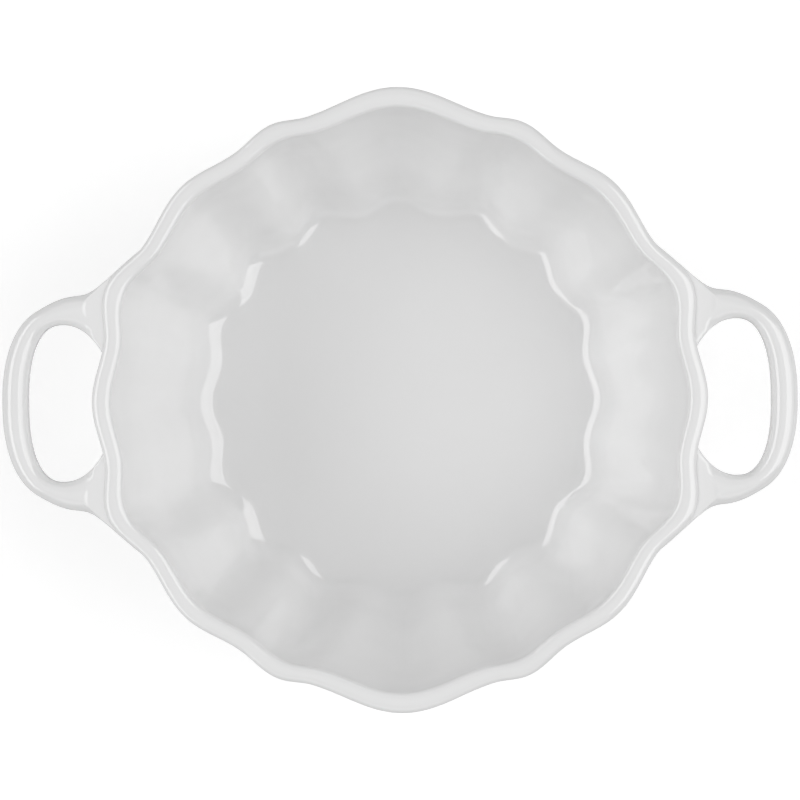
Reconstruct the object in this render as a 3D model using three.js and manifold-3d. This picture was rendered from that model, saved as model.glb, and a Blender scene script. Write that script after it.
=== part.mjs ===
// Lidded pumpkin ramekin: a white glazed stoneware dish with pumpkin ribs and two loop handles,
// and its loose lid laid beside it, rim down, on the same surface.
// Millimetres, +Z up. The origin is the centre of the dish's flat base, with a handle on +X and one on -X.
import * as THREE from 'three';
import { mergeVertices } from 'three/addons/utils/BufferGeometryUtils.js';
import Module from 'manifold-3d';

const wasm = await Module();
wasm.setup();

// Ribs. The walls have even lobes. The rim's outline is less even: over one quarter turn, from a handle
// (0 degrees) to the front (90 degrees), its crests and valleys take turns, and each has its own angle
// and stands out from the valley circle by its own amount.
const RIM_RIBS = [
  { angle: 0, out: 2.2 },
  { angle: 8.5, out: 1.2 },
  { angle: 20.8, out: 3.6 },
  { angle: 32.4, out: 0.4 },
  { angle: 44.4, out: 1.7 },
  { angle: 56.3, out: 0 },
  { angle: 65.3, out: 1.4 },
  { angle: 72.5, out: 0.2 },
  { angle: 90, out: 3.2 },
];
const STEPS_PER_HALF_RIB = 3;

// Lip under the lid, which the rim's inside makes room for
const LIP_DEPTH = 4;
const LIP_WIDTH = 3.2;
const LIP_CLEARANCE = 1; // between the lip and the rim all round
const LIP_BOTTOM_GAP = 1.5; // straight band of the rim that goes on under the seated lip

// Dish
const VALLEY_RADIUS = 57.9; // circle through the deepest valleys of the rim's outer edge
const DISH_HEIGHT = 52;
const RIM_WIDTH = 3.6; // flat top and its two rounded edges
const RIM_EDGE = 0.8; // rounding of the rim's edges
const RIM_OVERHANG = 1.1; // how far the rim stands out from the wall under it
const FLOOR_RADIUS = 38; // flat floor inside, in the valleys
const FLOOR_THICKNESS = 6;
const FLOOR_FILLET = 1.6; // between floor and wall
const FOOT_MARGIN = 0.5; // flat base outside the floor's edge
const FOOT_EDGE = 1.5; // bevel round the base
const WALL_THICKNESS = 5.5; // at the belly
const BELLY_OUT = 11; // the inner wall's guide point, out from the floor's edge
const BELLY_HEIGHT = 20; // the guide points of both walls, up from where the walls start
const BELLY_RIB_DEPTH = 3.6; // at the guide points
const FLOOR_RIB_DEPTH = 2.2;
const BASE_RIB_DEPTH = 1.2;
const WALL_STEPS = 5;

// Handles: each is a flat oval loop with an ear at both ends, a little under the rim's top
const HANDLE_DROP = 1.2; // top of the handle under the top of the rim
const HANDLE_THICKNESS = 6.4;
const HANDLE_EDGE = 1.1; // bevel along the handle's edges
const FINGER_GAP_OUT = 7.3; // centre of the finger gap, out from the valley circle
const FINGER_GAP_HALF_DEPTH = 7;
const FINGER_GAP_HALF_LENGTH = 15.3;
const FINGER_GAP_SQUARENESS = 2.4; // power of the oval: 2 is an ellipse, more is squarer
const LOOP_SQUARENESS = 2;
const ROD_WIDTH = 5.3; // at the middle of the loop
const ROD_END_WIDTH = 3.9; // at both ends of the finger gap
const EAR_HALF_WIDTH = 22.8; // half of the handle's width where it runs into the rim
const EAR_ROOT = 8; // how far the ear's outline runs in under the rim, before the dish cuts it
const EAR_START = 73; // angle on the loop where the ear leaves it
const OVAL_STEPS = 28;

// Lid
const LID_CLEAR = 33; // between the dish's rim and the edge of the lid beside it
const LID_INSET = 0.4; // lid's edge inside the rim's outer edge
const LID_EDGE_HEIGHT = 3; // upright edge that sits on the rim
const LID_RISE = 30; // shoulders of the lid above its seat
const LID_WALL = 4;
const LID_RIB_DEPTH = 3.6; // on the shoulders
const CROWN_RIB_DEPTH = 1; // round the stem's seat
const DIMPLE_DEPTH = 2.5; // the stem's seat under the shoulders
const DIMPLE_SLOPE = 7; // width of the slope round the seat
const LID_STEPS = 6;

// Stem, the lid's knob
const STEM_RADIUS = 8.5; // flared foot
const STEM_FLARE_HEIGHT = 6;
const STEM_WAIST = 4.8;
const STEM_WAIST_HEIGHT = 12;
const STEM_TOP_RADIUS = 6.4;
const STEM_HEIGHT = 25;
const STEM_LEAN = 4; // the top leans over by this much
const STEM_FLUTES = 5;
const STEM_FLUTE_DEPTH = 0.7;
const STEM_SEAT_MARGIN = 1.5; // flat seat round the stem's foot
const STEM_SIDES = 40;

const JOINT_GAP = 0.3; // between pieces that are joined with slip
const QUARTER_TURN = 90;
const HALF_TURN = 180;

const glaze = { color: 0xdfdfdf, roughness: 0.16, metalness: 0 };

// One column of a ribbed wall, counted in half ribs from the handle on +X. Both patterns are mirrored
// about both axes: the rim's from the list above, the wall's with crests and valleys at even steps.
function ribColumn(halfRibs) {
  const perQuarter = RIM_RIBS.length - 1;
  const halfTurns = Math.floor(halfRibs / (2 * perQuarter));
  const inHalfTurn = halfRibs - halfTurns * 2 * perQuarter;
  const mirrored = inHalfTurn > perQuarter;
  const folded = mirrored ? 2 * perQuarter - inHalfTurn : inHalfTurn;
  const first = Math.min(Math.floor(folded), perQuarter - 1);
  const from = RIM_RIBS[first];
  const to = RIM_RIBS[first + 1];
  const share = folded - first;
  const turned = (angle) => halfTurns * HALF_TURN + (mirrored ? HALF_TURN - angle : angle);
  return {
    rimAngle: turned(from.angle + (to.angle - from.angle) * share),
    rimOut: from.out + (to.out - from.out) * (1 - Math.cos(Math.PI * share)) / 2,
    wallAngle: turned(folded * QUARTER_TURN / perQuarter),
    wallOut: (1 + Math.cos(Math.PI * folded)) / 2,
  };
}

function ribColumns() {
  const count = 4 * (RIM_RIBS.length - 1) * STEPS_PER_HALF_RIB;
  const columns = [];
  for (let step = 0; step < count; step += 1) {
    columns.push(ribColumn(step / STEPS_PER_HALF_RIB));
  }
  return columns;
}

// A station of a ribbed section: radius in the valleys, height, how far the ribs follow the rim
// (1) or the wall (0), and the depth of the wall's ribs there
function station(radius, z, rim = 0, depth = 0) {
  return { radius, z, rim, depth };
}

// Solid turned from a section whose stations start and end on the axis, with the ribs pushed out
function ribbedSolid(section) {
  const columns = ribColumns();
  const profile = section.map((point) => new THREE.Vector2(point.radius, point.z));
  const geometry = new THREE.LatheGeometry(profile, columns.length);
  const position = geometry.attributes.position;
  for (let turn = 0; turn <= columns.length; turn += 1) {
    const column = columns[turn % columns.length];
    section.forEach((point, index) => {
      const angle = column.wallAngle + (column.rimAngle - column.wallAngle) * point.rim;
      const along = THREE.MathUtils.degToRad(angle);
      const radius = point.radius + column.rimOut * point.rim + column.wallOut * point.depth;
      const place = turn * section.length + index;
      position.setXYZ(place, radius * Math.cos(along), radius * Math.sin(along), point.z);
    });
  }
  geometry.computeVertexNormals();
  return geometry;
}

// Stations along a curved wall between two stations, drawn towards a guide station
function wallStations(from, guide, to, steps) {
  const path = new THREE.QuadraticBezierCurve3(
    new THREE.Vector3(from.radius, from.z, from.depth),
    new THREE.Vector3(guide.radius, guide.z, guide.depth),
    new THREE.Vector3(to.radius, to.z, to.depth),
  );
  const rims = new THREE.QuadraticBezierCurve(
    new THREE.Vector2(from.rim, 0),
    new THREE.Vector2(guide.rim, 0),
    new THREE.Vector2(to.rim, 0),
  ).getPoints(steps);
  return path.getPoints(steps).map((point, index) => station(point.x, point.y, rims[index].x, point.z));
}

// Closed solid of a geometry: shared corners merged, and triangles that collapse on the axis left out
function solidFrom(geometry) {
  const bare = geometry.clone();
  bare.deleteAttribute('normal');
  bare.deleteAttribute('uv');
  const merged = mergeVertices(bare);
  const corners = merged.index.array;
  const triangles = [];
  for (let first = 0; first < corners.length; first += 3) {
    const [a, b, c] = corners.slice(first, first + 3);
    if (a !== b && b !== c && c !== a) {
      triangles.push(a, b, c);
    }
  }
  return new wasm.Manifold(new wasm.Mesh({
    numProp: 3,
    vertProperties: new Float32Array(merged.attributes.position.array),
    triVerts: new Uint32Array(triangles),
  }));
}

function geometryFrom(solid) {
  const mesh = solid.getMesh();
  const geometry = new THREE.BufferGeometry();
  geometry.setAttribute('position', new THREE.BufferAttribute(mesh.vertProperties, mesh.numProp));
  geometry.setIndex(new THREE.BufferAttribute(mesh.triVerts, 1));
  geometry.computeVertexNormals();
  return geometry;
}

function piece(name, geometry) {
  const mesh = new THREE.Mesh(geometry, new THREE.MeshStandardMaterial(glaze));
  mesh.name = name;
  return mesh;
}

// Dish
const rimInner = VALLEY_RADIUS - RIM_WIDTH;
const underRim = DISH_HEIGHT - LIP_DEPTH - LIP_BOTTOM_GAP;
const bellyInner = FLOOR_RADIUS + BELLY_OUT;
const baseRadius = FLOOR_RADIUS + FOOT_MARGIN;

// Outside of the dish from the base's edge to the rim's top, moved out by a margin
function dishOutside(margin) {
  const foot = station(baseRadius + FOOT_EDGE, FOOT_EDGE, 0, BASE_RIB_DEPTH);
  const guide = station(bellyInner + WALL_THICKNESS, FOOT_EDGE + BELLY_HEIGHT, 0, BELLY_RIB_DEPTH);
  const neck = station(VALLEY_RADIUS - RIM_OVERHANG, underRim, 1);
  const outside = [
    station(baseRadius, 0, 0, BASE_RIB_DEPTH),
    ...wallStations(foot, guide, neck, WALL_STEPS),
    station(VALLEY_RADIUS, underRim + RIM_OVERHANG, 1),
    station(VALLEY_RADIUS, DISH_HEIGHT - RIM_EDGE, 1),
    station(VALLEY_RADIUS - RIM_EDGE, DISH_HEIGHT, 1),
  ];
  return outside.map((point) => ({ ...point, radius: point.radius + margin }));
}

function dishSection() {
  const wallTop = station(rimInner, underRim, 1);
  const guide = station(bellyInner, FLOOR_THICKNESS + BELLY_HEIGHT, 0, BELLY_RIB_DEPTH);
  const wallFoot = station(FLOOR_RADIUS + FLOOR_FILLET, FLOOR_THICKNESS + FLOOR_FILLET, 0, FLOOR_RIB_DEPTH);
  return [
    station(0, 0),
    ...dishOutside(0),
    station(rimInner + RIM_EDGE, DISH_HEIGHT, 1),
    station(rimInner, DISH_HEIGHT - RIM_EDGE, 1),
    ...wallStations(wallTop, guide, wallFoot, WALL_STEPS),
    station(FLOOR_RADIUS, FLOOR_THICKNESS, 0, FLOOR_RIB_DEPTH),
    station(0, FLOOR_THICKNESS),
  ];
}

// Handle on the +X side
// Points of an oval round the finger gap's centre, between two angles in degrees
function oval(halfDepth, halfLength, squareness, fromAngle, toAngle) {
  const rounded = (value) => Math.sign(value) * Math.abs(value) ** (2 / squareness);
  const points = [];
  for (let step = 0; step <= OVAL_STEPS; step += 1) {
    const angle = THREE.MathUtils.degToRad(fromAngle + (toAngle - fromAngle) * step / OVAL_STEPS);
    const x = VALLEY_RADIUS + FINGER_GAP_OUT + halfDepth * rounded(Math.cos(angle));
    points.push(new THREE.Vector2(x, halfLength * rounded(Math.sin(angle))));
  }
  return points;
}

// The loop seen from above, smaller by the bevel that is added all round
function handleShape() {
  const loopDepth = FINGER_GAP_HALF_DEPTH + ROD_WIDTH - HANDLE_EDGE;
  const loopLength = FINGER_GAP_HALF_LENGTH + ROD_END_WIDTH - HANDLE_EDGE;
  const earHalf = EAR_HALF_WIDTH - HANDLE_EDGE;
  const shape = new THREE.Shape([
    new THREE.Vector2(VALLEY_RADIUS - EAR_ROOT, -earHalf),
    new THREE.Vector2(VALLEY_RADIUS, -earHalf),
    ...oval(loopDepth, loopLength, LOOP_SQUARENESS, -EAR_START, EAR_START),
    new THREE.Vector2(VALLEY_RADIUS, earHalf),
    new THREE.Vector2(VALLEY_RADIUS - EAR_ROOT, earHalf),
  ]);
  const gapDepth = FINGER_GAP_HALF_DEPTH + HANDLE_EDGE;
  const gapLength = FINGER_GAP_HALF_LENGTH + HANDLE_EDGE;
  const gap = oval(gapDepth, gapLength, FINGER_GAP_SQUARENESS, -HALF_TURN, HALF_TURN);
  shape.holes.push(new THREE.Path(gap.slice(1)));
  return shape;
}

function handleGeometry() {
  const loop = new THREE.ExtrudeGeometry(handleShape(), {
    depth: HANDLE_THICKNESS - 2 * HANDLE_EDGE,
    bevelThickness: HANDLE_EDGE,
    bevelSize: HANDLE_EDGE,
    bevelSegments: 1,
  });
  const bottom = DISH_HEIGHT - HANDLE_DROP - HANDLE_THICKNESS;
  loop.translate(0, 0, bottom + HANDLE_EDGE);
  const dishSpace = ribbedSolid([
    station(0, 0),
    ...dishOutside(JOINT_GAP),
    station(0, DISH_HEIGHT),
  ]);
  return geometryFrom(solidFrom(loop).subtract(solidFrom(dishSpace)));
}

// Lid, drawn from the bottom of its lip
const lidEdge = VALLEY_RADIUS - LID_INSET;
const lipOuter = rimInner - LIP_CLEARANCE;
const lipInner = lipOuter - LIP_WIDTH;
const shoulders = LIP_DEPTH + LID_RISE;
const stemSeat = shoulders - DIMPLE_DEPTH;
const stemSeatRadius = STEM_RADIUS + STEM_SEAT_MARGIN;
const crownRadius = stemSeatRadius + DIMPLE_SLOPE;

function lidSection() {
  const insideTop = station(crownRadius, stemSeat - LID_WALL);
  const insideShoulder = station(lidEdge - LID_WALL, shoulders - LID_WALL, 0, LID_RIB_DEPTH);
  const lipTop = station(lipInner, LIP_DEPTH, 1);
  const edgeTop = station(lidEdge, LIP_DEPTH + LID_EDGE_HEIGHT, 1);
  const shoulder = station(lidEdge, shoulders, 0, LID_RIB_DEPTH);
  const crown = station(crownRadius, shoulders, 0, CROWN_RIB_DEPTH);
  return [
    station(0, stemSeat - LID_WALL),
    ...wallStations(insideTop, insideShoulder, lipTop, LID_STEPS),
    station(lipInner, 0, 1),
    station(lipOuter, 0, 1),
    station(lipOuter, LIP_DEPTH, 1),
    station(lidEdge - RIM_EDGE, LIP_DEPTH, 1),
    station(lidEdge, LIP_DEPTH + RIM_EDGE, 1),
    ...wallStations(edgeTop, shoulder, crown, LID_STEPS),
    station(stemSeatRadius, stemSeat),
    station(0, stemSeat),
  ];
}

// Stem: a fluted, leaning stalk with a flared foot and a cut top
function stemGeometry() {
  const side = new THREE.CubicBezierCurve(
    new THREE.Vector2(STEM_RADIUS, 0),
    new THREE.Vector2(STEM_WAIST, STEM_FLARE_HEIGHT),
    new THREE.Vector2(STEM_WAIST, STEM_WAIST_HEIGHT),
    new THREE.Vector2(STEM_TOP_RADIUS, STEM_HEIGHT - RIM_EDGE),
  );
  const profile = [
    new THREE.Vector2(0, 0),
    ...side.getPoints(LID_STEPS),
    new THREE.Vector2(STEM_TOP_RADIUS - RIM_EDGE, STEM_HEIGHT),
    new THREE.Vector2(0, STEM_HEIGHT),
  ];
  const geometry = new THREE.LatheGeometry(profile, STEM_SIDES);
  const position = geometry.attributes.position;
  for (let turn = 0; turn <= STEM_SIDES; turn += 1) {
    const along = 2 * Math.PI * (turn % STEM_SIDES) / STEM_SIDES;
    profile.forEach((point, index) => {
      const flute = point.x > 0 ? STEM_FLUTE_DEPTH * Math.cos(STEM_FLUTES * along) : 0;
      const radius = point.x + flute;
      const lean = STEM_LEAN * (point.y / STEM_HEIGHT) ** 2;
      const place = turn * profile.length + index;
      position.setXYZ(place, radius * Math.cos(along) + lean, radius * Math.sin(along), point.y);
    });
  }
  geometry.computeVertexNormals();
  return geometry;
}

const dish = new THREE.Group();
const rightHandle = piece('right_handle', handleGeometry());
const leftHandle = piece('left_handle', handleGeometry());
leftHandle.rotation.z = THREE.MathUtils.degToRad(HALF_TURN);
dish.add(piece('dish_body', ribbedSolid(dishSection())), rightHandle, leftHandle);

const lid = new THREE.Group();
const frontCrest = RIM_RIBS.at(-1).out;
lid.position.y = VALLEY_RADIUS + frontCrest + LID_CLEAR + lidEdge + frontCrest;
const stem = piece('lid_stem', stemGeometry());
stem.position.z = stemSeat + JOINT_GAP;
stem.rotation.z = THREE.MathUtils.degToRad(QUARTER_TURN); // leans away from the dish
lid.add(piece('lid_shell', ribbedSolid(lidSection())), stem);

const ramekin = new THREE.Group();
ramekin.add(dish, lid);

export default ramekin;
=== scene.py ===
"""White glazed pumpkin ramekin seen from straight above, with its loose lid laid beside it.

Sizes are in millimetres and are turned to metres when a mesh is done.
"""
import math
import bmesh
import bpy
from mathutils import Matrix, Vector


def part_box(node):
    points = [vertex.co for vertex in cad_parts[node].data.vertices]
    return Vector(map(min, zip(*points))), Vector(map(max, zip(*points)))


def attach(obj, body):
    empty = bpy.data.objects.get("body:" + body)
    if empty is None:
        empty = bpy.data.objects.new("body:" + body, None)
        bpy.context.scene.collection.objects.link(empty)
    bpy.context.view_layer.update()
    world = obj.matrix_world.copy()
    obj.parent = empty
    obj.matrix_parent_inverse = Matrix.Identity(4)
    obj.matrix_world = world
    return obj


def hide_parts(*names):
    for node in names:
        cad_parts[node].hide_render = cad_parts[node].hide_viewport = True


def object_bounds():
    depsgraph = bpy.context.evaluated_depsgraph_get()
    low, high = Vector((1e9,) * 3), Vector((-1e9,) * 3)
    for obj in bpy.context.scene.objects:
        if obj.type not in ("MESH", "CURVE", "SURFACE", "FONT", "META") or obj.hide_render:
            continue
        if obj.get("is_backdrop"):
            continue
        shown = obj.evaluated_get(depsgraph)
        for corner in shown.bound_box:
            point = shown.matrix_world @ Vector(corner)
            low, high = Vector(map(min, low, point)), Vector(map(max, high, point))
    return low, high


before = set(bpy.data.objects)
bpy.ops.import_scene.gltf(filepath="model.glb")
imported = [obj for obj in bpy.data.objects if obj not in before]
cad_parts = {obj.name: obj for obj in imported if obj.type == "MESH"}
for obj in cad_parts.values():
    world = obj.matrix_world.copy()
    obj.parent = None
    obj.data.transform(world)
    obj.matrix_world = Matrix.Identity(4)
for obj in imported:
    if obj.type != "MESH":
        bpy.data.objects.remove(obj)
cad_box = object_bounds()

MM = 0.001

# Ribs. Over a quarter turn from a handle (0 degrees) to the front (90 degrees) the rim's crests and
# valleys take turns: the angle of each, and how far it stands out from the valley circle.
RIM_RIBS = (
    (0.0, 2.2),
    (10.8, 0.9),
    (21.2, 3.6),
    (32.4, 0.4),
    (44.4, 1.7),
    (56.3, 0.0),
    (65.3, 1.4),
    (72.5, 0.2),
    (90.0, 3.2),
)
HALF_RIBS_PER_QUARTER = len(RIM_RIBS) - 1
HANDLE_LOBE = 0.6  # the wall's lobe at a handle, as a share of the other lobes' depth
ROUND_STEPS = 256  # columns of a ribbed wall

# Dish
VALLEY_RADIUS = 57.9  # circle through the deepest valleys of the rim's outer edge
DISH_HEIGHT = 52.0
RIM_WIDTH = 3.5  # in the valleys
RIM_CROWN = 1.1  # height of the rim's rounded top
RIM_SQUARENESS = 2.2  # of that top, which is half an oval across the rim's width
EDGE = 1.0  # rounding of the lid's edge and of the stem's cut top
RIM_INNER_SHARE = 0.85  # depth of the ribs at the rim's inner edge, as a share of its outer edge's
RIM_SIDE_SHARE = 0.7  # how far up the rim's outer side an extra station keeps it upright, as a share
RIM_OVERHANG = 1.1
UNDER_RIM = 5.5  # depth of the rim's rolled edge outside
LIP_ROOM = 8.0  # the lid's lip sits inside the rim, so the wall is almost upright this far down
LIP_LEAN = 1.2  # how far the wall leans in on that way
FLOOR_RADIUS = 40.5  # where floor and wall would meet, in the valleys
FLOOR_THICKNESS = 6.0
FLOOR_FILLET = 5.2  # reach of the rounding between floor and wall
FLOOR_RIB_DEPTH = 2.2
BELLY_RADIUS = 49.0  # guide of the inner wall
BELLY_HEIGHT = 20.0
BELLY_RIB_DEPTH = 3.6
WALL_THICKNESS = 5.5
BASE_RADIUS = 38.5
BASE_RIB_DEPTH = 1.2
FOOT_EDGE = 1.5
FOOT_RING_WIDTH = 5.0  # ground ring that the dish stands on
FOOT_RECESS = 0.7  # glazed base inside the ring, up from the ring
WALL_STEPS = 18
CROWN_STEPS = 14
CORNER_STEPS = 4

# Handles
HANDLE_DROP = 0.6  # top of the rod under the top of the rim
HANDLE_THICKNESS = 6.4
ROD_CROWN = 2.2  # height of the rod's rounded top, half an ellipse across its width
EAR_STEP = 0.25  # the ears' flat top under the rod's top
EAR_STEP_AT = 0.79  # where the rod steps down, as a share of the way from the loop's middle to its root
EAR_STEP_LENGTH = 0.09
EAR_STEP_BULGE = 0.05  # how much sooner the step comes along the bar's edges
EAR_SQUARENESS = 8  # of the plate that the ear is
GAP_CENTRE = 65.8  # widest place of the finger gap
GAP_OUTER_DEPTH = 6.75  # from there to the rod
GAP_INNER_DEPTH = 10.0  # from there to the oval's end inside the rim
GAP_HALF_LENGTH = 15.3
GAP_SQUARENESS = 2.4  # of the half next to the rod
GAP_INNER_SQUARENESS = 2.0  # of the half next to the rim, which is a plain ellipse
GAP_TURN = 95.0  # angle on the oval where the rod runs into the ear
GAP_TURN_AT = 0.5  # share of the way to the root where the gap's outline gets there
GAP_END = 150.0  # angle on the oval where the ear is inside the rim
LOOP_HALF_DEPTH = 11.85
LOOP_HALF_LENGTH = 19.2
LOOP_SQUARENESS = 2.3
LOOP_TURN = 66.0  # angle on the loop's outline where the ear leaves it
LOOP_TURN_AT = 0.44  # share of the way to the root where the outline gets there
# Points that draw the ear's outline from there into the rim
EAR_GUIDES = ((59.6, 25.2), (63.6, 15.6), (56.3, 25.9), (48.9, 30.9))
HANDLE_STEPS = 160
HANDLE_SIDES = 40
BAR_TURN = 3.0  # radius that the bar's ring is swept round, in ring radii, before its points are placed

# Lid
LIP_DEPTH = 4.0
LIP_OUTER = 53.3
LIP_INNER = 50.1
LIP_EDGE = 0.7
LID_EDGE_RADIUS = 57.5
LID_EDGE_HEIGHT = 3.0
LID_SHOULDERS = 34.0
LID_WALL = 4.0
LID_RIB_DEPTH = 3.6
CROWN_RADIUS = 17.0
CROWN_RIB_DEPTH = 1.0
STEM_SEAT = 31.5
# The slope from the crown down to the stem's seat, in shares of its length: the point that draws its
# upper bend, that bend's end, and the start of its lower bend
SEAT_SLOPE_GUIDE = 0.3
SEAT_SLOPE_UPPER = 0.5
SEAT_SLOPE_LOWER = 0.7
SEAT_BEND = 2.0  # reach of the lower bend onto the seat
STEM_SEAT_RADIUS = 10.0

# Stem
STEM_RADIUS = 8.5
STEM_FLARE_HEIGHT = 6.0
STEM_WAIST = 4.8
STEM_WAIST_HEIGHT = 12.0
STEM_TOP_RADIUS = 6.4
STEM_HEIGHT = 25.0
STEM_LEAN = 4.0
STEM_FLUTES = 5
STEM_FLUTE_DEPTH = 0.7
STEM_CUT_HOLLOW = 0.6  # the cut top sinks in by this much
STEM_CUT_HALFWAY = 0.8  # share of that depth halfway to its middle
STEM_ROUND_STEPS = 80
STEM_STEPS = 18

# Finish
BARE_HEIGHT = 0.2  # faces lower than this are the ground foot and the lip's wiped edge
NOWHERE = -1.0  # the same for a piece with glaze all over
POOL_WIDTH = 28.0  # where the glaze lies slightly thicker
WAVE_WIDTH = 12.0  # waves of the glaze
WAVE_HEIGHT = 0.12
GRIT_WIDTH = 0.8  # grit of the bare stoneware
GRIT_HEIGHT = 0.1
MERGE_DISTANCE = 0.005  # points closer than this are one
SMOOTH_LEVELS = 1

# Studio, in metres: each soft light's place, its size across and along, and its brightness
SOFTBOXES = {
    "left_box": ((-0.843, 0.0, 0.759), (2.1, 0.468), 2.65),
    "right_box": ((0.685, 0.0, 0.913), (0.95, 0.867), 2.3),
    "right_fill": ((1.05, 0.0, 0.4), (1.2, 0.35), 0.94),
    "front_box": ((0.0, -0.843, 0.759), (1.2, 0.47), 0.7),
    "back_box": ((0.0, 0.843, 0.759), (1.2, 0.47), 0.45),
    "top_box": ((0.0, 0.0, 1.6), (0.9, 0.9), 0.17),
}
ROOM_BRIGHTNESS = 0.12
FLOOR_HALF_SIZE = 4.0

# Camera
CAMERA_DISTANCE = 900.0  # from the rim's plane
VIEW_WIDTH = 155.7  # what the frame takes in at that plane
SENSOR_WIDTH = 36.0
CAMERA_TURN = -0.6  # in degrees

lid_low, lid_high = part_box("lid_shell")
stem_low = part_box("lid_stem")[0]
LID_CENTRE_Y = (lid_low[1] + lid_high[1]) / 2 / MM
STEM_FOOT_Z = stem_low[2] / MM


# Ribs

def fold_ribs(turn):
    """Half ribs from the nearest handle, that handle's angle, and which way round they run from it."""
    half_ribs = turn * 4 * HALF_RIBS_PER_QUARTER
    half_turns = math.floor(half_ribs / (2 * HALF_RIBS_PER_QUARTER))
    in_half_turn = half_ribs - half_turns * 2 * HALF_RIBS_PER_QUARTER
    if in_half_turn > HALF_RIBS_PER_QUARTER:
        return 2 * HALF_RIBS_PER_QUARTER - in_half_turn, half_turns * 180 + 180, -1
    return in_half_turn, half_turns * 180, 1


def wave(share):
    """From 0 to 1 along half a cosine wave."""
    return (1 - math.cos(math.pi * share)) / 2


def rib_column(turn):
    """Rim angle, rim out, wall angle and wall out of the column at a share of a full turn."""
    folded, base_angle, way = fold_ribs(turn)
    first = min(math.floor(folded), HALF_RIBS_PER_QUARTER - 1)
    share = folded - first
    from_angle, from_out = RIM_RIBS[first]
    to_angle, to_out = RIM_RIBS[first + 1]
    rim_angle = base_angle + way * (from_angle + (to_angle - from_angle) * share)
    rim_out = from_out + (to_out - from_out) * wave(share)
    wall_angle = base_angle + way * folded * 90 / HALF_RIBS_PER_QUARTER
    wall_out = (1 - wave(folded)) * (HANDLE_LOBE if folded < 1 else 1)
    return rim_angle, rim_out, wall_angle, wall_out


def rim_out_at(angle):
    """How far the rim stands out from the valley circle, at an angle in degrees from a handle."""
    for (from_angle, from_out), (to_angle, to_out) in zip(RIM_RIBS, RIM_RIBS[1:]):
        if angle <= to_angle:
            share = (angle - from_angle) / (to_angle - from_angle)
            return from_out + (to_out - from_out) * wave(share)
    return RIM_RIBS[-1][1]


# Sections

def station(radius, z, rim=0.0, depth=0.0):
    """Point of a ribbed section: radius in the valleys, height, share of the rim's ribs, depth of the
    wall's ribs.
    """
    return Vector((radius, z, rim, depth))


def drawn(guides, share):
    """Point at a share of the curve from the first guide to the last, drawn towards the others."""
    if len(guides) == 1:
        return guides[0]
    return drawn([here.lerp(there, share) for here, there in zip(guides, guides[1:])], share)


def bend(start, guide, end, steps):
    """Stations from start to end along a curve drawn towards guide."""
    return [drawn((start, guide, end), step / steps) for step in range(steps + 1)]


def towards(start, end, reach):
    """Station at a distance from start on the way to end."""
    return start.lerp(end, reach / (end.xy - start.xy).length)


def soft(before, corner, after, reach):
    """Stations round a corner whose rounding starts and ends at a distance from it."""
    return bend(towards(corner, before, reach), corner, towards(corner, after, reach), CORNER_STEPS)


def ribbed_shell(section, centre_y):
    """Turns a section round the upright axis and pushes its ribs out."""
    bm = bmesh.new()
    rim_layer = bm.verts.layers.float.new("rim")
    depth_layer = bm.verts.layers.float.new("depth")
    verts = []
    for radius, z, rim, depth in section:
        vert = bm.verts.new((radius, 0, z))
        vert[rim_layer] = rim
        vert[depth_layer] = depth
        verts.append(vert)
    edges = [bm.edges.new(pair) for pair in zip(verts, verts[1:])]
    bmesh.ops.spin(bm, geom=verts + edges, cent=(0, 0, 0), axis=(0, 0, 1),
                   angle=2 * math.pi, steps=ROUND_STEPS, use_merge=True)
    for vert in bm.verts:
        radius = vert.co.xy.length
        turn = math.atan2(vert.co.y, vert.co.x) / (2 * math.pi) % 1
        step = round(turn * ROUND_STEPS) % ROUND_STEPS
        rim_angle, rim_out, wall_angle, wall_out = rib_column(step / ROUND_STEPS)
        rim = vert[rim_layer]
        along = math.radians(wall_angle + (rim_angle - wall_angle) * rim)
        if radius > 0:
            radius += rim_out * rim + wall_out * vert[depth_layer]
        vert.co.x = radius * math.cos(along)
        vert.co.y = radius * math.sin(along)
    bmesh.ops.translate(bm, vec=(0, centre_y, 0), verts=bm.verts)
    return bm


def rim_crown():
    """Rounded top of the rim, from its outer side to just before its inner side, where the wall starts."""
    stations = []
    for step in range(CROWN_STEPS):
        across = math.cos(math.pi * step / CROWN_STEPS)
        up = math.sin(math.pi * step / CROWN_STEPS)
        out = math.copysign(abs(across) ** (2 / RIM_SQUARENESS), across)
        radius = VALLEY_RADIUS - RIM_WIDTH / 2 + RIM_WIDTH / 2 * out
        z = DISH_HEIGHT - RIM_CROWN + RIM_CROWN * up ** (2 / RIM_SQUARENESS)
        stations.append(station(radius, z, 1 - (1 - RIM_INNER_SHARE) * (1 - out) / 2))
    return stations


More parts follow.
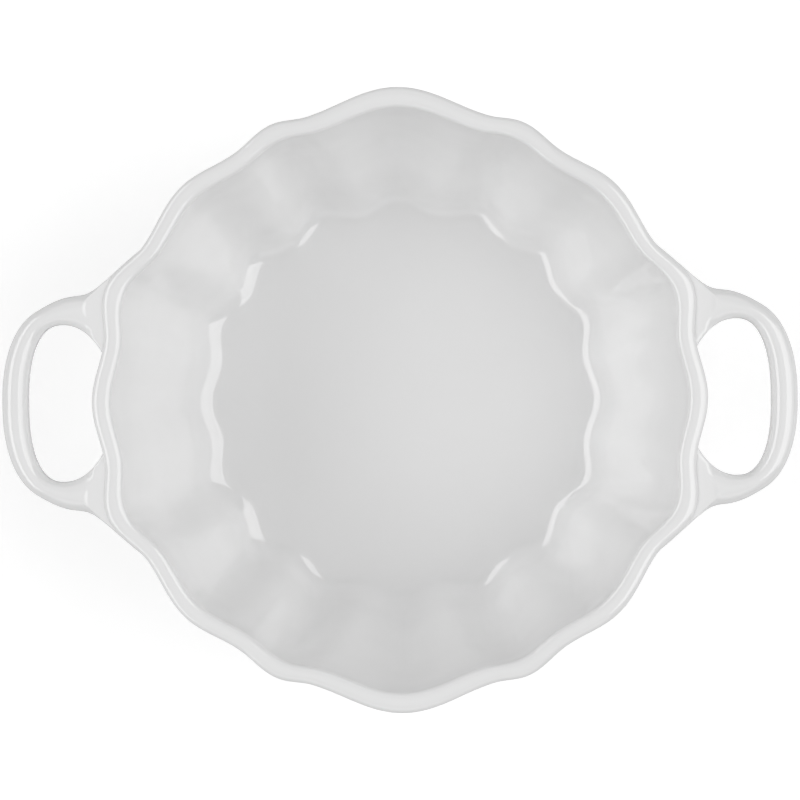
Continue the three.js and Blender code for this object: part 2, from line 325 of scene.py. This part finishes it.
def dish_section():
    """From the middle of the base, out and up over the rim, and down to the middle of the floor."""
    ring_inner = BASE_RADIUS - FOOT_RING_WIDTH
    recess_edge = station(ring_inner - FOOT_RECESS, FOOT_RECESS)
    ring_start = station(ring_inner, 0)
    base_edge = station(BASE_RADIUS, 0, 0, BASE_RIB_DEPTH)
    foot = station(BASE_RADIUS + FOOT_EDGE, FOOT_EDGE, 0, BASE_RIB_DEPTH)
    outer_guide = station(BELLY_RADIUS + WALL_THICKNESS, FOOT_EDGE + BELLY_HEIGHT, 0, BELLY_RIB_DEPTH)
    under_rim = DISH_HEIGHT - UNDER_RIM
    neck = station(VALLEY_RADIUS - RIM_OVERHANG, under_rim, 1)
    rim_low = station(VALLEY_RADIUS, under_rim + RIM_OVERHANG, 1)
    crown = rim_crown()
    lip_guide = station(VALLEY_RADIUS - RIM_WIDTH - LIP_LEAN, DISH_HEIGHT - LIP_ROOM, RIM_INNER_SHARE)
    inner_guide = station(BELLY_RADIUS, FLOOR_THICKNESS + BELLY_HEIGHT, 0, BELLY_RIB_DEPTH)
    floor_corner = station(FLOOR_RADIUS, FLOOR_THICKNESS, 0, FLOOR_RIB_DEPTH)
    floor_edge = station(FLOOR_RADIUS - FLOOR_FILLET, FLOOR_THICKNESS, 0, FLOOR_RIB_DEPTH)
    wall_foot = towards(floor_corner, inner_guide, FLOOR_FILLET)
    outer_wall = bend(foot, outer_guide, neck, WALL_STEPS)
    wall_guides = crown[-1], lip_guide, inner_guide, wall_foot
    inner_wall = [drawn(wall_guides, step / WALL_STEPS) for step in range(1, WALL_STEPS)]
    return [
        station(0, FOOT_RECESS),
        station(ring_inner / 2, FOOT_RECESS),
        *soft(station(0, FOOT_RECESS), recess_edge, ring_start, FOOT_RECESS / 2),
        *soft(recess_edge, ring_start, base_edge, FOOT_RECESS / 2),
        *soft(ring_start, base_edge, foot, FOOT_EDGE / 2),
        *outer_wall[:-1],
        *soft(outer_wall[-2], neck, rim_low, RIM_OVERHANG / 2),
        *soft(neck, rim_low, crown[0], RIM_OVERHANG / 2),
        rim_low.lerp(crown[0], RIM_SIDE_SHARE),
        *crown,
        *inner_wall,
        *bend(wall_foot, floor_corner, floor_edge, 2 * CORNER_STEPS),
        station(floor_edge.x - FLOOR_FILLET, FLOOR_THICKNESS, 0, FLOOR_RIB_DEPTH / 2),
        station(FLOOR_RADIUS / 2, FLOOR_THICKNESS),
        station(0, FLOOR_THICKNESS),
    ]


def lid_section():
    """From the middle of the inside, down to the lip, and up over the shoulders to the stem's seat."""
    seat_inside = STEM_SEAT - LID_WALL
    inside_top = station(CROWN_RADIUS, seat_inside)
    inside_shoulder = station(LID_EDGE_RADIUS - LID_WALL, LID_SHOULDERS - LID_WALL, 0, LID_RIB_DEPTH)
    lip_top = station(LIP_INNER, LIP_DEPTH, 1)
    lip_inner = station(LIP_INNER, 0, 1)
    lip_outer = station(LIP_OUTER, 0, 1)
    lip_corner = station(LIP_OUTER, LIP_DEPTH, 1)
    edge_low = station(LID_EDGE_RADIUS, LIP_DEPTH, 1)
    edge_top = station(LID_EDGE_RADIUS, LIP_DEPTH + LID_EDGE_HEIGHT, 1)
    shoulder = station(LID_EDGE_RADIUS, LID_SHOULDERS, 0, LID_RIB_DEPTH)
    crown = station(CROWN_RADIUS, LID_SHOULDERS, 0, CROWN_RIB_DEPTH)
    seat_edge = station(STEM_SEAT_RADIUS, STEM_SEAT)
    outside = bend(edge_top, shoulder, crown, WALL_STEPS)
    slope_guide = crown.lerp(seat_edge, SEAT_SLOPE_GUIDE)
    slope_upper = crown.lerp(seat_edge, SEAT_SLOPE_UPPER)
    slope_lower = crown.lerp(seat_edge, SEAT_SLOPE_LOWER)
    seat = station(STEM_SEAT_RADIUS - SEAT_BEND, STEM_SEAT)
    return [
        station(0, seat_inside),
        station(CROWN_RADIUS / 2, seat_inside),
        *bend(inside_top, inside_shoulder, lip_top, WALL_STEPS),
        *soft(lip_top, lip_inner, lip_outer, LIP_EDGE),
        *soft(lip_inner, lip_outer, lip_corner, LIP_EDGE),
        *soft(lip_outer, lip_corner, edge_low, LIP_EDGE),
        *soft(lip_corner, edge_low, edge_top, EDGE),
        *outside[:-1],
        *bend(outside[-1], slope_guide, slope_upper, CORNER_STEPS),
        *bend(slope_lower, seat_edge, seat, CORNER_STEPS),
        station(STEM_RADIUS / 2, STEM_SEAT),
        station(0, STEM_SEAT),
    ]


def stem_mesh():
    """Fluted stalk with a flared foot and a cut top, leaning away from the dish."""
    bm = bmesh.new()
    profile = [Vector((0, 0)), Vector((STEM_RADIUS / 2, 0))]
    foot = Vector((STEM_RADIUS, 0))
    waist_low = Vector((STEM_WAIST, STEM_FLARE_HEIGHT))
    waist_high = Vector((STEM_WAIST, STEM_WAIST_HEIGHT))
    top = Vector((STEM_TOP_RADIUS, STEM_HEIGHT - EDGE))
    for step in range(STEM_STEPS + 1):
        profile.append(drawn((foot, waist_low, waist_high, top), step / STEM_STEPS))
    rim = Vector((STEM_TOP_RADIUS, STEM_HEIGHT))
    rim_inside = Vector((STEM_TOP_RADIUS - EDGE, STEM_HEIGHT))
    profile += bend(top, rim, rim_inside, CORNER_STEPS)[1:]
    profile.append(Vector((STEM_TOP_RADIUS / 2, STEM_HEIGHT - STEM_CUT_HOLLOW * STEM_CUT_HALFWAY)))
    profile.append(Vector((0, STEM_HEIGHT - STEM_CUT_HOLLOW)))
    verts = [bm.verts.new((radius, 0, z)) for radius, z in profile]
    edges = [bm.edges.new(pair) for pair in zip(verts, verts[1:])]
    bmesh.ops.spin(bm, geom=verts + edges, cent=(0, 0, 0), axis=(0, 0, 1),
                   angle=2 * math.pi, steps=STEM_ROUND_STEPS, use_merge=True)
    for vert in bm.verts:
        radius = vert.co.xy.length
        along = math.atan2(vert.co.y, vert.co.x)
        if radius > 0:
            radius += STEM_FLUTE_DEPTH * math.cos(STEM_FLUTES * along) * min(1, radius / STEM_WAIST)
        lean = STEM_LEAN * (vert.co.z / STEM_HEIGHT) ** 2
        vert.co.x = -radius * math.sin(along)
        vert.co.y = radius * math.cos(along) + lean
    bmesh.ops.translate(bm, vec=(0, LID_CENTRE_Y, STEM_FOOT_Z), verts=bm.verts)
    return bm


# Handles

def smooth_share(value):
    """From 0 to 1 with soft ends, held outside that range."""
    share = min(1, max(0, value))
    return share * share * (3 - 2 * share)


def oval_point(half_depth, half_length, squareness, angle):
    """Point of an oval round the finger gap's centre."""
    across = math.cos(math.radians(angle))
    up = math.sin(math.radians(angle))
    power = 2 / squareness
    x = GAP_CENTRE + half_depth * math.copysign(abs(across) ** power, across)
    return Vector((x, half_length * abs(up) ** power))


def gap_point(way):
    """Inner outline of the handle, from the loop's middle (0) to its root in the rim (1)."""
    if way < GAP_TURN_AT:
        angle = GAP_TURN * way / GAP_TURN_AT
    else:
        angle = GAP_TURN + (GAP_END - GAP_TURN) * (way - GAP_TURN_AT) / (1 - GAP_TURN_AT)
    if angle < 90:
        return oval_point(GAP_OUTER_DEPTH, GAP_HALF_LENGTH, GAP_SQUARENESS, angle)
    return oval_point(GAP_INNER_DEPTH, GAP_HALF_LENGTH, GAP_INNER_SQUARENESS, angle)


def outline_point(way):
    """Outer outline of the handle, from the loop's middle (0) to its root in the rim (1)."""
    if way < LOOP_TURN_AT:
        angle = LOOP_TURN * way / LOOP_TURN_AT
        return oval_point(LOOP_HALF_DEPTH, LOOP_HALF_LENGTH, LOOP_SQUARENESS, angle)
    start = oval_point(LOOP_HALF_DEPTH, LOOP_HALF_LENGTH, LOOP_SQUARENESS, LOOP_TURN)
    guides = [start] + [Vector(guide) for guide in EAR_GUIDES]
    return drawn(guides, (way - LOOP_TURN_AT) / (1 - LOOP_TURN_AT))


def root_point(share):
    """Point of the handle's root inside the rim, from the finger gap (0) to the ear's outline (1).

    Between its ends it follows the rim's rib.
    """
    ends = gap_point(1), outline_point(1)
    angles = [math.degrees(math.atan2(end.y, end.x)) for end in ends]
    inside = [end.length - rim_out_at(angle) for end, angle in zip(ends, angles)]
    angle = angles[0] + (angles[1] - angles[0]) * share
    radius = inside[0] + (inside[1] - inside[0]) * share + rim_out_at(angle)
    along = math.radians(angle)
    return Vector((radius * math.cos(along), radius * math.sin(along)))


def handle_point(way, side_angle):
    """Point of the handle's skin, for the way from the loop's middle to the root and the angle round
    the bar.

    The rod is rounded like half an ellipse above and below, and past its step the ear is a flat plate.
    The last ring, inside the rim, is pressed flat so that the end closes.
    """
    lean = math.cos(side_angle)
    share = (1 + lean) / 2
    into_ear = smooth_share((way - GAP_TURN_AT) / (1 - GAP_TURN_AT))
    root_chord = gap_point(1).lerp(outline_point(1), share)
    place = gap_point(way).lerp(outline_point(way), share) + (root_point(share) - root_chord) * into_ear
    stepped = smooth_share((way - EAR_STEP_AT + EAR_STEP_BULGE * lean ** 2) / EAR_STEP_LENGTH + 0.5)
    rod = ROD_CROWN * abs(math.sin(side_angle))
    plate = (ROD_CROWN - EAR_STEP) * (1 - abs(lean) ** EAR_SQUARENESS) ** (1 / EAR_SQUARENESS)
    out = HANDLE_THICKNESS / 2 - ROD_CROWN + rod + (plate - rod) * stepped
    if way >= 1:
        out = 0
    middle = DISH_HEIGHT - HANDLE_DROP - HANDLE_THICKNESS / 2
    return place.x, place.y, middle + (out if side_angle < math.pi else -out)


def handle_mesh(turned):
    """Bar swept round the finger gap from root to root, on the +X side, or on the -X side if turned."""
    bm = bmesh.new()
    side_layer = bm.verts.layers.float.new("side")
    ring = bmesh.ops.create_circle(bm, segments=HANDLE_SIDES, radius=1)["verts"]
    for vert in ring:
        vert[side_layer] = math.atan2(vert.co.y, vert.co.x) % (2 * math.pi)
        vert.co = (BAR_TURN + vert.co.x, 0, vert.co.y)
    edges = list(bm.edges)
    bmesh.ops.rotate(bm, verts=ring, cent=(0, 0, 0), matrix=turn_about_z(-math.pi / 2))
    bmesh.ops.spin(bm, geom=ring + edges, cent=(0, 0, 0), axis=(0, 0, 1),
                   angle=math.pi, steps=HANDLE_STEPS)
    for vert in bm.verts:
        along = math.atan2(vert.co.y, vert.co.x) / (math.pi / 2)
        x, y, z = handle_point(min(1, abs(along)), vert[side_layer])
        vert.co = (x, math.copysign(y, along), z)
    if turned:
        bmesh.ops.rotate(bm, verts=bm.verts, cent=(0, 0, 0), matrix=turn_about_z(math.pi))
    return bm


def turn_about_z(angle):
    """Matrix of a turn about the upright axis."""
    return Matrix.Rotation(angle, 3, "Z")


# Materials

def linear(hex_colour):
    """sRGB hex to a linear colour with alpha."""
    channels = [int(hex_colour[place:place + 2], 16) / 255 for place in (1, 3, 5)]
    return [c / 12.92 if c <= 0.04045 else ((c + 0.055) / 1.055) ** 2.4 for c in channels] + [1]


def add_node(material, kind, values=None, links=None):
    """Adds a node, sets its sockets, and links sockets of earlier nodes into it."""
    tree = material.node_tree
    node = tree.nodes.new(kind)
    for name, value in (values or {}).items():
        node.inputs[name].default_value = value
    for name, (source, output) in (links or {}).items():
        tree.links.new(source.outputs[output], node.inputs[name])
    return node


def new_material(name):
    """Empty node material."""
    material = bpy.data.materials.new(name)
    material.use_nodes = True
    material.node_tree.nodes.clear()
    return material


def per_metre(size_mm):
    """Scale of a pattern on Object coordinates whose features are this wide."""
    return 1 / (size_mm * MM)


# Gloss tin-white glaze, dipped and fired on stoneware: an even, glassy white that flows into soft waves
# about a centimetre wide, so that reflections bend a little, and lies slightly thicker in places.
def white_glaze():
    material = new_material("gloss_white_glaze")
    place = add_node(material, "ShaderNodeTexCoord")
    pooling = add_node(material, "ShaderNodeTexNoise",
                       values={"Scale": per_metre(POOL_WIDTH), "Detail": 1.0},
                       links={"Vector": (place, "Object")})
    colour = add_node(material, "ShaderNodeValToRGB", links={"Fac": (pooling, "Fac")})
    colour.color_ramp.elements[0].position = 0.3
    colour.color_ramp.elements[0].color = linear("#F5F5F5")
    colour.color_ramp.elements[1].position = 0.7
    colour.color_ramp.elements[1].color = linear("#F7F7F7")
    gloss = add_node(material, "ShaderNodeMapRange", values={"To Min": 0.01, "To Max": 0.02},
                     links={"Value": (pooling, "Fac")})
    waves = add_node(material, "ShaderNodeTexNoise",
                     values={"Scale": per_metre(WAVE_WIDTH), "Detail": 1.0},
                     links={"Vector": (place, "Object")})
    bump = add_node(material, "ShaderNodeBump", values={"Strength": 1.0, "Distance": WAVE_HEIGHT * MM},
                    links={"Height": (waves, "Fac")})
    shader = add_node(material, "ShaderNodeBsdfPrincipled", values={"IOR": 1.63},
                      links={"Base Color": (colour, "Color"), "Roughness": (gloss, "Result"),
                             "Normal": (bump, "Normal")})
    add_node(material, "ShaderNodeOutputMaterial", links={"Surface": (shader, "BSDF")})
    return material


# Bare stoneware where the glaze was wiped off before firing: matt, pale buff and slightly gritty.
def bare_stoneware():
    material = new_material("bare_stoneware")
    place = add_node(material, "ShaderNodeTexCoord")
    grit = add_node(material, "ShaderNodeTexNoise", values={"Scale": per_metre(GRIT_WIDTH), "Detail": 3.0},
                    links={"Vector": (place, "Object")})
    colour = add_node(material, "ShaderNodeValToRGB", links={"Fac": (grit, "Fac")})
    colour.color_ramp.elements[0].position = 0.35
    colour.color_ramp.elements[0].color = linear("#B9AE9E")
    colour.color_ramp.elements[1].position = 0.65
    colour.color_ramp.elements[1].color = linear("#D6CDBF")
    bump = add_node(material, "ShaderNodeBump", values={"Strength": 0.6, "Distance": GRIT_HEIGHT * MM},
                    links={"Height": (grit, "Fac")})
    shader = add_node(material, "ShaderNodeBsdfPrincipled", values={"IOR": 1.5, "Roughness": 0.8},
                      links={"Base Color": (colour, "Color"), "Normal": (bump, "Normal")})
    add_node(material, "ShaderNodeOutputMaterial", links={"Surface": (shader, "BSDF")})
    return material


# White seamless sweep, blown out to white in the picture and a plain pale table to the dish.
def white_sweep():
    material = new_material("white_sweep")
    path = add_node(material, "ShaderNodeLightPath")
    shader = add_node(material, "ShaderNodeBsdfPrincipled",
                      values={"Base Color": linear("#E4E4E4"), "Roughness": 0.9,
                              "Emission Color": linear("#B2B2B2")},
                      links={"Emission Strength": (path, "Is Camera Ray")})
    add_node(material, "ShaderNodeOutputMaterial", links={"Surface": (shader, "BSDF")})
    return material


# Pieces

def add_piece(name, bm, body, bare_below):
    """Closes a mesh, turns it to metres and makes it a piece that stands for the node of its name."""
    bmesh.ops.remove_doubles(bm, verts=bm.verts, dist=MERGE_DISTANCE)
    bmesh.ops.recalc_face_normals(bm, faces=bm.faces)
    for face in bm.faces:
        face.smooth = True
        if face.calc_center_median().z < bare_below:
            face.material_index = 1
    bmesh.ops.scale(bm, vec=(MM, MM, MM), verts=bm.verts)
    mesh = bpy.data.meshes.new(name)
    bm.to_mesh(mesh)
    bm.free()
    mesh.materials.append(glaze)
    mesh.materials.append(stoneware)
    piece = bpy.data.objects.new("glazed_" + name, mesh)
    bpy.context.scene.collection.objects.link(piece)
    finish = piece.modifiers.new("smooth", "SUBSURF")
    finish.levels = SMOOTH_LEVELS
    finish.render_levels = SMOOTH_LEVELS
    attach(piece, body)
    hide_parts(name)


def add_softbox(name, place, size, brightness):
    """Rectangular soft light that faces the middle of the rim. Its size doesn't change its brightness."""
    light = bpy.data.lights.new(name, "AREA")
    light.shape = "RECTANGLE"
    light.size, light.size_y = size
    light.energy = brightness * math.pi * size[0] * size[1]
    lamp = bpy.data.objects.new(name, light)
    lamp.location = place
    facing = Vector((0, 0, DISH_HEIGHT * MM)) - Vector(place)
    lamp.rotation_euler = facing.to_track_quat("-Z", "Y").to_euler()
    lamp.visible_camera = False
    bpy.context.scene.collection.objects.link(lamp)


glaze = white_glaze()
stoneware = bare_stoneware()
add_piece("dish_body", ribbed_shell(dish_section(), 0), "dish", BARE_HEIGHT)
add_piece("right_handle", handle_mesh(False), "dish", NOWHERE)
add_piece("left_handle", handle_mesh(True), "dish", NOWHERE)
add_piece("lid_shell", ribbed_shell(lid_section(), LID_CENTRE_Y), "lid", BARE_HEIGHT)
add_piece("lid_stem", stem_mesh(), "lid", NOWHERE)

# Floor
floor_bm = bmesh.new()
bmesh.ops.create_grid(floor_bm, x_segments=1, y_segments=1, size=FLOOR_HALF_SIZE)
floor_mesh = bpy.data.meshes.new("floor")
floor_bm.to_mesh(floor_mesh)
floor_bm.free()
floor_mesh.materials.append(white_sweep())
floor = bpy.data.objects.new("floor", floor_mesh)
bpy.context.scene.collection.objects.link(floor)
floor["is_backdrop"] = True

# Light: a bright strip box on the left, a wider one on the right with a low fill, weaker ones in front,
# behind and above, and a pale room
for name, (place, size, brightness) in SOFTBOXES.items():
    add_softbox(name, place, size, brightness)
world = bpy.data.worlds.new("studio")
world.use_nodes = True
room = world.node_tree.nodes["Background"]
room.inputs["Color"].default_value = linear("#FFFFFF")
room.inputs["Strength"].default_value = ROOM_BRIGHTNESS
bpy.context.scene.world = world
bpy.context.scene.view_settings.view_transform = "Standard"

# Camera: straight above, turned a little, far enough for the photograph's flat perspective
camera_data = bpy.data.cameras.new("camera")
camera_data.sensor_width = SENSOR_WIDTH
camera_data.lens = SENSOR_WIDTH * CAMERA_DISTANCE / VIEW_WIDTH
camera = bpy.data.objects.new("camera", camera_data)
camera.location = (0, 0, (DISH_HEIGHT + CAMERA_DISTANCE) * MM)
camera.rotation_euler = (0, 0, math.radians(CAMERA_TURN))
bpy.context.scene.collection.objects.link(camera)
bpy.context.scene.camera = camera

boxes = {"cad": cad_box, "visual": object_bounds()}
{name: [list(corner) for corner in box] for name, box in boxes.items()}
